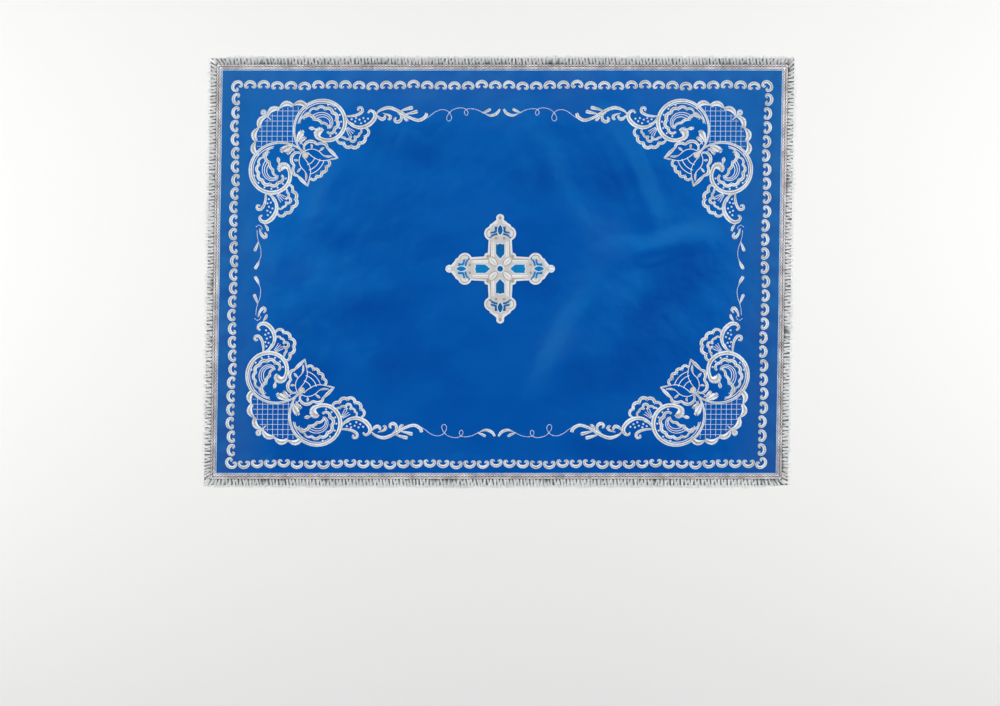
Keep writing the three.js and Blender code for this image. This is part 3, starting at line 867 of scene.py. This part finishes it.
def flower_columns():
    """The padded rim, the stem and the small leaves of one half of the flower."""
    return [
        drawn((69.4, 66, 0.9), (70.2, 60.8, 1.7), (74, 57.4, 2.1), (79, 57.4, 2.1), (83, 60, 1.6)),
        drawn((83, 60.2, 1.5), (87.4, 58.8, 2.0), (92, 60, 2.1), (93.6, 63.8, 1.5)),
        drawn((93.6, 63.6, 1.3), (98, 67.8, 2.3), (101.4, 71.2, 1.9), (104.6, 74.2, 0.7)),
        drawn((97, 75.6, 0.7), (100.4, 75, 1.2), (104.6, 74.2, 0.7)),
        drawn((65.4, 64.4, 0.9), (67.6, 66.6, 1.1), (69.6, 68.8, 1.3)),
        drawn((77.4, 64, 0.7), (77.8, 61.8, 1.6), (77.2, 60.2, 0.9)),
        drawn((85.6, 67, 0.7), (88, 65, 1.6), (90, 63.4, 0.9)),
        drawn((90, 71.8, 0.6), (94, 72.6, 1.5), (98.6, 72.4, 0.8)),
    ]


def fan_columns():
    """The comma leaves round the lattice, on one side of its middle."""
    columns = [
        spiral((28, 28), 0, 360, 1.9, 1.9, (2.2,), 24),
        drawn((30, 30, 1.4), (33, 33, 1.2), (35.5, 35, 0.8)),
    ]
    leaf_widths, leaf_bulge = (1.6, 4.2, 5.6, 5.0, 2.6), 2.8
    for bearing in (123.5, 102.6, 81.6):
        places, widths = spiral(
            FAN_CENTRE, bearing + 10.4, bearing - 9.6, FAN_RADIUS - 1, FAN_RADIUS - 1.4, leaf_widths, 24
        )
        middle, tip = math.radians(bearing), math.radians(bearing - 8.6)
        bulge = leaf_bulge * np.sin(np.linspace(0, math.pi, 24))[:, None]
        columns.append((places + bulge * np.array([math.cos(middle), -math.sin(middle)]), widths))
        curl = FAN_CENTRE[0] + 40 * math.cos(tip) - 1.2, FAN_CENTRE[1] - 40 * math.sin(tip) + 0.2
        columns.append(spiral(curl, 60, -120, 1.6, 1.2, (1.8, 1.4), 12))
    return columns


def frond_lines():
    """The thin lines of one half: frond veins, petal veins and the rays of the small flower."""
    lines = [
        spiral(FROND_CENTRE, 176, 66, 28.3, 20.6, (FINE_WIDTH,), 60),
        spiral((91, 40), 152, -30, 16.4, 6.4, (FINE_WIDTH,)),
        spiral((91, 40), 150, -24, 13.6, 5.2, (FINE_WIDTH,)),
        spiral((91, 40.5), 142, -10, 10.8, 4.4, (FINE_WIDTH,)),
        fine((70, 67.4), (75.4, 65.2), (81, 65.4), (85.6, 67.8), (88.8, 70.8), (92, 72)),
        fine((74.2, 69), (77.6, 72), (82.4, 75), (88, 76.8), (93.6, 76.4), (99, 75.2)),
        fine((113, 34.6), (116.4, 37.6), (120, 39.2)),
        fine((71, 66), (68.6, 60.6), (65.4, 57.4)),
    ]
    for bearing in (-30, -42, -54, -66):
        ray = math.radians(bearing)
        near, far = (4.5, 11.5) if bearing % 24 else (5.5, 9.5)
        lines.append(fine((110.6 + near * math.cos(ray), 40.8 - near * math.sin(ray)),
                          (110.6 + far * math.cos(ray), 40.8 - far * math.sin(ray))))
    return lines


def lattice_lines():
    """The upright threads of the lattice, each cut off by the fan's leaves and by the fronds."""
    lines = []
    for u in LATTICE_FIRST + LATTICE_PITCH * np.arange(LATTICE_COUNT):
        v = np.arange(18, 66, 0.5)
        inside = np.hypot(u - FAN_CENTRE[0], v - FAN_CENTRE[1]) < FAN_RADIUS - 3
        for centre_u, centre_v, across, down in ((*FROND_CENTRE, u, v), (*FROND_CENTRE, v, u)):
            angle = np.degrees(np.arctan2(centre_v - down, across - centre_u)) % 360
            ratio = FROND_END_RADIUS / FROND_RADIUS
            edge = FROND_RADIUS * ratio ** ((FROND_START - angle) / (FROND_START - FROND_END))
            inside &= np.hypot(across - centre_u, down - centre_v) > edge + 1
        if inside.sum() > 4:
            ends = (u, v[inside].min(), LATTICE_WIDTH), (u, v[inside].max(), LATTICE_WIDTH)
            lines.append(drawn(*ends))
    return lines


def running_thread():
    """A short stitch that lies along its path."""
    section = [(-0.5, 0), (-0.4, 0.8), (0, 1), (0.4, 0.8), (0.5, 0)]
    points = [(x, y, z if y == 0 else 0.2 * z) for y in (-0.5, 0, 0.5) for x, z in section]
    return stitch_shape("running thread", points, grid_faces(3, 5), [0.7] * len(points))


def knot():
    """A small round knot of thread."""
    angles = np.linspace(0, 2 * math.pi, 9)[:-1]
    points = [(0, 0, 1)]
    for radius, z in ((0.32, 0.8), (0.5, 0)):
        points += [(radius * math.cos(angle), radius * math.sin(angle), z) for angle in angles]
    faces = [(0, 1 + i, 1 + (i + 1) % 8) for i in range(8)]
    faces += [(1 + i, 9 + i, 9 + (i + 1) % 8, 1 + (i + 1) % 8) for i in range(8)]
    return stitch_shape("knot", points, faces, [0.7] * len(points))


def on_all_corners(paths):
    """Lays drawn paths on the cloth in each of its four corners."""
    laid_paths = []
    for right in (-1, 1):
        for up in (1, -1):
            for places, widths in paths:
                x = right * (SPRAY_HALF_WIDTH - places[:, 0])
                y = up * (SPRAY_HALF_DEPTH - places[:, 1]) + SPRAY_MIDDLE
                laid_paths.append((laid(x, y, FACE_LIFT), widths, 0.0))
    return laid_paths


spray_columns = fan_columns() + fuller(frond_columns(), RIM_FULLNESS)
spray_columns = mirrored(spray_columns + fuller(small_flower_columns() + flower_columns(), PETAL_FULLNESS))
spray_columns.append(spiral(FLOWER_CENTRE, 0, 360, 2.7, 2.7, (1.2,), 24))
spray_columns.append(scalloped(spiral(FLOWER_CENTRE, -13, -77, 24.2, 24.2, (2.6, 3.2, 2.6), 80), 4, 2.6))
spray_lines = mirrored(frond_lines())
for radius in (10, 15.6, 20):
    spray_lines.append(spiral(FLOWER_CENTRE, -17, -73, radius, radius, (FINE_WIDTH,), 40))
horn_dots = [(118, 34.6), (121.6, 36.8), (122.4, 33.4), (126, 35)]
horn_dots += [(127.6, 38.6), (130, 33.4), (131.6, 36.6), (134.6, 34)]
spray_dots = mirrored([dot(u, v) for u, v in horn_dots])
for bearing in (84, 60, 36, 12, -12, -38, -66):
    ray = math.radians(bearing)
    reach = 21.3 * math.exp(-0.0035 * (90 - bearing))
    u, v = FROND_CENTRE[0] + reach * math.cos(ray), FROND_CENTRE[1] - reach * math.sin(ray)
    spray_dots += mirrored([dot(u, v)])

corner_sprays = satin_sewn("corner_sprays", on_all_corners(spray_columns), 17)
running_stitch = running_thread()
white_thread = rayon("white rayon thread", "#e0e7ef", "#c0c5cc")
vein_paths = on_all_corners(spray_lines)
spray_veins = sew(
    "spray_veins", vein_paths, running_stitch, white_thread, FINE_PITCH, FINE_PITCH, VEIN_RISE, seed=19
)
blue_grey_thread = rayon("blue-grey rayon thread", "#c0d0e8", "#93aed6")
lattice_paths = on_all_corners(mirrored(lattice_lines()))
spray_lattice = sew(
    "spray_lattice", lattice_paths, running_stitch, blue_grey_thread, FINE_PITCH, FINE_PITCH, LATTICE_RISE,
    seed=21,
)
thread_knot = knot()
dot_paths = on_all_corners(spray_dots)
spray_knots = sew(
    "spray_knots", dot_paths, thread_knot, white_thread, KNOT_PITCH, DOT_SIZE, DOT_RISE, seed=23
)
beige_thread = rayon("beige rayon thread", "#d6cabd", "#b3a595")
heart_paths = on_all_corners([dot(*FLOWER_CENTRE, HEART_SIZE)])
flower_hearts = sew(
    "flower_hearts", heart_paths, thread_knot, beige_thread, KNOT_PITCH, HEART_SIZE, HEART_RISE, seed=24
)

# Tendrils
# Between the corners a leafy sprig runs out of each horn into a thin curled tendril of running stitch that
# ends in a leaf. Both meet at the middle of each side, and the short sides carry the tendril alone.
TENDRIL_WIDTH = 0.56
TENDRIL_PITCH = 2.2
TENDRIL_STITCH = 2.0
TENDRIL_RISE = 0.5
LEAF_FULLNESS = 0.88


def tendril(*rows):
    """A running-stitch tendril through rows of u and v."""
    return drawn(*[(u, v, TENDRIL_WIDTH) for u, v in rows])


leaf_columns = [
    drawn((142.6, 29.6, 1.2), (147, 25.4, 2.8), (156, 22.8, 3.9), (166, 26.4, 3.6), (176, 32.4, 3.2),
          (186, 35.6, 3.6), (192.6, 32.6, 4.0), (194.4, 28.8, 3.6)),
    drawn((166, 27, 1.0), (172, 24.6, 2.8), (179, 22.8, 4.2), (180, 22.6, 2.6)),
    drawn((172, 29.6, 1.0), (178.6, 28.2, 3.0), (184, 26.8, 4.2), (185, 26.6, 2.6)),
    drawn((143.6, 30, 1.0), (146, 33, 3.2), (149.6, 34.6, 4.0), (152, 32.4, 3.0), (151.6, 30.6, 1.6)),
    drawn((150, 28.6, 1.0), (154.4, 29.8, 2.2), (157.6, 32, 3.6), (156.6, 34.6, 3.0), (155, 34.4, 1.4)),
    drawn((164.6, 27.6, 1.2), (168.4, 31, 2.6), (168, 35.6, 3.6), (164.4, 37.4, 3.8), (161.6, 35, 3.0),
          (163.2, 32.8, 1.8)),
    drawn((170.4, 31.4, 1.0), (172.4, 34, 2.8), (174.6, 35.6, 3.2), (175.4, 35, 1.6)),
    drawn((254.6, 29.2, 1.2), (260, 30.8, 2.9), (266, 28.6, 3.5), (269, 24.6, 2.4)),
    drawn((251.4, 28, 1.0), (255.6, 26.4, 2.8), (259, 24.6, 3.0), (259.6, 24.2, 1.6)),
    drawn((26.2, 179, 1.0), (24.4, 183, 3.4), (22.2, 186.6, 3.6), (21.8, 187.2, 2.0)),
    drawn((25, 159.6, 1.0), (23.4, 164, 2.8), (21.6, 168.2, 3.4), (21.2, 169, 2.0)),
    drawn((25.8, 146.4, 1.2), (27.4, 151.4, 2.8), (30.8, 155.4, 3.8), (33, 153.2, 3.0), (31.4, 150.4, 1.8)),
    drawn((31, 142, 1.2), (33.4, 145.2, 3.2), (34.4, 148.4, 2.2)),
]
tendril_lines = [
    tendril((194, 33.4), (198, 31), (203, 27.2), (209.4, 24.8), (215.4, 26), (219.2, 30.4), (219.6, 34.4),
            (217.2, 36.4), (214.9, 34.2), (216.4, 29.6), (221, 25), (228, 23), (233.6, 24), (236.6, 27.4),
            (235.4, 30.4), (233, 28.6), (234.2, 25), (239, 23.8), (246, 25), (253, 28.4), (257, 29.8)),
    tendril((23.4, 149), (23.8, 154), (25.2, 160), (27.4, 166.4), (27.8, 174), (25.8, 180)),
    tendril((22.8, 144), (25.4, 142.8), (28.4, 145.2), (27, 148)),
]
sprig_leaves = satin_sewn("sprig_leaves", on_all_corners(fuller(leaf_columns, LEAF_FULLNESS)), 29)
tendrils = sew(
    "tendrils", on_all_corners(tendril_lines), running_stitch, white_thread, TENDRIL_PITCH, TENDRIL_STITCH,
    TENDRIL_RISE, seed=31,
)
embroidery = [scroll_border, corner_sprays, spray_veins, spray_lattice]
embroidery += [spray_knots, flower_hearts, sprig_leaves, tendrils]
for piece in embroidery[1:]:
    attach(piece, "root")

# Sewn-on cross
# A ready-made cross with budded arms, embroidered on its own backing and sewn on at the middle: a white
# corded rim, cream satin stitch between, and blue metallised windows that the stitching leaves open.
CROSS_BOTTOM = PANEL_THICKNESS + 0.3
CROSS_GROUND = 0.75  # the backing and its first stitching
GROOVE_LIFT = CROSS_GROUND + 0.05
CROSS_PITCH = 0.55
CROSS_THREAD = 0.66
BALL = (0, 51.8, 4.2)
# The arcs of one arm that points along +Y: across, along, radius, start and end angle in degrees.
ARM_ARCS = [
    (13, 13, 3.4, -36, 126),
    (9.1, 36, 7.3, -75, 68),
    (8.4, 43.6, 2.6, -20, 100),
    (*BALL, -40, 220),
    (-8.4, 43.6, 2.6, 80, 200),
    (-9.1, 36, 7.3, 112, 255),
]
PANE = [(0, 9.5), (4.8, 15), (4.8, 26), (2.4, 25.2), (0, 26.4), (-2.4, 25.2), (-4.8, 26), (-4.8, 15)]
EYE_ALONG = 39.6


def turned(places, quarters):
    """Places about the cross's middle, turned by quarter turns."""
    places = np.asarray(places, float)
    cosine, sine = round(math.cos(quarters * math.pi / 2)), round(math.sin(quarters * math.pi / 2))
    return places @ np.array([(cosine, sine), (-sine, cosine)])


def arc(across, along, radius, start, end, count=11):
    """Places on an arc. Angles in degrees, anticlockwise from +X."""
    angle = np.radians(np.linspace(start, end, count))
    return np.stack([across + radius * np.cos(angle), along + radius * np.sin(angle)], axis=-1)


def cross_outline(inset):
    """The outline of the whole cross, drawn in by an inset."""
    arm = np.concatenate([arc(a, b, max(r - inset, 0.15), start, end) for a, b, r, start, end in ARM_ARCS])
    return np.concatenate([turned(arm, quarters) for quarters in range(4)])


def lens(along, half_width, half_length):
    """A pointed oval on an arm's middle line."""
    share = np.linspace(0, 1, 9)
    side = half_width * np.sin(math.pi * share) ** 0.8
    up = along - half_length + 2 * half_length * share
    return np.concatenate([np.stack([side, up], axis=-1), np.stack([-side, up], axis=-1)[-2:0:-1]])


def on_cross(places, lift):
    """Places about the cross's middle, laid on the cloth."""
    places = np.asarray(places, float)
    flat = np.full(len(places), CROSS_BOTTOM + lift)
    return np.stack([places[:, 0] + CROSS_CENTRE[0], places[:, 1] + CROSS_CENTRE[1], flat], axis=-1) * MM


def slabs(name, outlines, bottom, top):
    """Upright slabs on the cross, one for each outline."""
    points, faces = [], []
    for outline in outlines:
        faces += tube_faces(2, len(outline), sum(len(p) for p in points))
        points += [on_cross(outline, bottom), on_cross(outline, top)]
    made = mesh_object(name, np.concatenate(points), faces)
    made.data.shade_flat()
    return made


def closed(outline):
    """An outline that comes back to its first place."""
    return np.concatenate([outline, outline[:1]])


def cross_path(places, quarters, widths, lift=CROSS_GROUND):
    """A stitched path on the cross, turned by quarter turns."""
    return on_cross(turned(places, quarters), lift), widths, 0.0


def bead(across, along):
    """The short path of a knot, which is sewn at both of its ends."""
    return np.array([(across, along), (across + 0.02, along)])


def cross_ground_material():
    """Cream satin stitch on the backing, with fine threads laid side by side."""
    material, tree = new_material("cream satin stitch")
    place = add_node(tree, "ShaderNodeTexCoord").outputs["Object"]
    thread_spacing = 0.8 * MM
    threads = waves(tree, place, thread_spacing, 1.5, "DIAGONAL")
    colour = ramp(tree, threads, (0.0, "#aea8a4"), (1.0, "#d6d5d6"))
    ridges = bumps(tree, threads, strength=0.6, depth=0.2 * MM)
    return surface(material, {"Base Color": colour, "Roughness": 0.45, "Normal": ridges})


def window_material():
    """Blue metallised film behind the windows: darker in its grain, with small bright flecks, painted
    lighter on the side arms.
    """
    material, tree = new_material("blue metallised film")
    place = add_node(tree, "ShaderNodeTexCoord").outputs["Object"]
    fleck_size = 1.6 * MM
    flecks = noise(tree, place, 1 / fleck_size, 2.0)
    # The film is ribbed one way. The windows on the side arms are painted lighter, a painted sheen for the
    # light they catch.
    sideways = maths(tree, "ABSOLUTE", result(tree, "ShaderNodeSeparateXYZ", {"Vector": place}))
    painted_side_sheen = remap(tree, sideways, (6 * MM, 12 * MM))
    light = maths(tree, "MULTIPLY_ADD", painted_side_sheen, 0.5, flecks)
    colour = ramp(tree, light, (0.3, "#00508c"), (1.0, "#037bbc"))
    inputs = {"Base Color": colour, "Roughness": 0.4, "Metallic": 0.3, "Specular IOR Level": 0.1}
    return surface(material, inputs)


cream_thread = rayon("cream rayon thread", "#dcdfe2", "#bdb5ac")
cross_ground = slabs("cross_ground", [cross_outline(0.3)], 0, CROSS_GROUND)
cross_ground.data.materials.append(cross_ground_material())

windows, window_rims, cream_columns, grooves, bud_slits, bud_beads, tip_knots = ([] for _ in range(7))
petal = np.stack([np.linspace(3.8, 10.6, 12)] * 2, axis=-1)
petal_width = 6.4 * np.sin(np.linspace(0.3, math.pi - 0.5, 12)) ** 0.8
petal_side = petal + 0.36 * petal_width[:, None] * np.array([1, -1])
hook = np.concatenate([[(4.0, 42.6)], arc(6.0, 39.4, 2, 180, 250, 5), [(9.2, 36.6)]])
for quarters in range(4):
    windows += [turned(PANE, quarters), turned(lens(EYE_ALONG, 2.9, 5.4), quarters)]
    window_rims += [
        cross_path(closed(np.array(PANE)), quarters, 1.2),
        cross_path(closed(lens(EYE_ALONG, 3.0, 5.8)), quarters, 1.0),
    ]
    cream_columns.append(cross_path(petal, quarters, petal_width))
    for hand in (-1, 1):
        flip = np.array([hand, 1])
        cream_columns += [
            cross_path(flip * np.array([(7.7, 12.5), (7.7, 28)]), quarters, 3.0),
            cross_path(flip * arc(9, 36, 3.4, -80, 75), quarters, 2.2),
            cross_path(flip * arc(3.4, 44.6, 2.6, 20, 110), quarters, 2.0),
        ]
        grooves += [
            cross_path(flip * np.array([(10, 11.5), (9.9, 28.6)]), quarters, 1.5, GROOVE_LIFT),
            cross_path(flip * arc(9.1, 36, 5.1, -75, 68), quarters, 1.4, GROOVE_LIFT),
            cross_path(flip * arc(2.6, 44.4, 4.6, 15, 90), quarters, 1.2, GROOVE_LIFT),
            cross_path(petal_side[:, ::hand], quarters, 1.1, GROOVE_LIFT),
        ]
        bud_slits += [
            cross_path(flip * hook, quarters, np.linspace(3.2, 1.9, 7)),
            cross_path(flip * arc(2.4, 24.4, 11, 40, 86, 8), quarters, 2.0),
        ]
        bud_beads.append(cross_path(flip * bead(4.1, 31), quarters, 2.6))
    bud_beads.append(cross_path(bead(12.6, 12.6), quarters, 3.6))
    tips = tip_knots if quarters % 2 else bud_beads
    tips.append(cross_path(bead(BALL[0], BALL[1]), quarters, 3.8))
windows.append(arc(0, 0, 3.1, 0, 345, 24))
window_rims.append(cross_path(closed(arc(0, 0, 3.6, 0, 345, 24)), 0, 1.5))

cross_windows = slabs("cross_windows", windows, CROSS_GROUND - 0.3, CROSS_GROUND + 0.12)
film = window_material()
cross_windows.data.materials.append(film)
rims = [cross_path(closed(cross_outline(1.1)), 0, 2.1)] + window_rims
cross_rim = sew("cross_rim", rims, satin_stitch, white_thread, CROSS_PITCH, CROSS_THREAD, rise=0.6, seed=37)
cross_fill = sew(
    "cross_fill", cream_columns, satin_stitch, cream_thread, CROSS_PITCH, CROSS_THREAD, rise=0.45, seed=41
)
cross_slits = sew("cross_slits", bud_slits, satin_stitch, film, pitch=0.5, length=0.7, rise=0.5, seed=43)
bead_thread = rayon("tan rayon thread", "#a0978a", "#746b60")
cross_beads = sew(
    "cross_beads", bud_beads, thread_knot, bead_thread, KNOT_PITCH, length=3.2, rise=0.65, seed=47
)
cross_knots = sew(
    "cross_knots", tip_knots, thread_knot, white_thread, KNOT_PITCH, length=3.4, rise=0.7, seed=53
)
cross_grooves = sew(
    "cross_grooves", grooves, running_stitch, bead_thread, pitch=1.4, length=1.5, rise=0.25, seed=59
)
cross_pieces = [
    cross_ground, cross_windows, cross_rim, cross_fill, cross_slits, cross_beads, cross_knots, cross_grooves
]
for piece in cross_pieces:
    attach(piece, "root")
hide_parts("cross_applique")

# Stage
# A plain pale table under soft window light, with lamps at its sides, a low front lamp that only shows in
# gloss, and a camera straight above.
bpy.ops.mesh.primitive_plane_add(size=6)
table = bpy.context.object
table.name = "table"
table.data.materials.append(
    surface(new_material("pale matt table")[0], {"Base Color": linear("#f1f1ef"), "Roughness": 0.8})
)


def soft_light(name, place, target, size, power, shine_only=False):
    """A soft light of a width and depth that looks at a point. A shine-only one just shows in gloss."""
    lamp = bpy.data.lights.new(name, "AREA")
    lamp.shape = "RECTANGLE"
    lamp.size, lamp.size_y = size
    lamp.energy = power
    made = in_scene(name, lamp)
    made.location = place
    made.rotation_euler = (Vector(target) - Vector(place)).to_track_quat("-Z", "Y").to_euler()
    made.visible_diffuse = not shine_only


soft_light("window", (0, 2.8, 5.2), (0, 0, 0), (2.2, 1.4), 58)
soft_light("right", (0.8, 0.34, 1.3), (0.1, 0, 0), (0.8, 0.8), 6.0)
soft_light("left", (-0.7, 0.3, 1.3), (-0.05, 0, 0), (0.8, 0.8), 5.6)
soft_light("low right", (0.95, -0.04, 0.66), (0.6, -0.02, 0), (0.5, 0.5), 2.5)
soft_light("low left", (-0.95, -0.04, 0.66), (-0.6, -0.02, 0), (0.5, 0.5), 2.6)
soft_light("front", (0, -0.9, 0.9), (0, -0.2, 0), (1.2, 0.3), 5.0, shine_only=True)
world = bpy.data.worlds.new("studio")
bpy.context.scene.world = world
world.use_nodes = True
sky = world.node_tree.nodes["Background"].inputs
sky["Color"].default_value = linear("#f2f4f6")
sky["Strength"].default_value = 0.30
bpy.context.scene.view_settings.view_transform = "Standard"

VIEW_WIDTH = 1020.4  # what the picture spans across the table
VIEW_CENTRE = (0.8, -82.9)
camera_data = bpy.data.cameras.new("camera")
camera_data.lens, camera_data.sensor_width = 60, 36
camera = in_scene("camera", camera_data)
camera_height = VIEW_WIDTH * camera_data.lens / camera_data.sensor_width
camera.location = (VIEW_CENTRE[0] * MM, VIEW_CENTRE[1] * MM, (camera_height + PANEL_THICKNESS) * MM)
bpy.context.scene.camera = camera
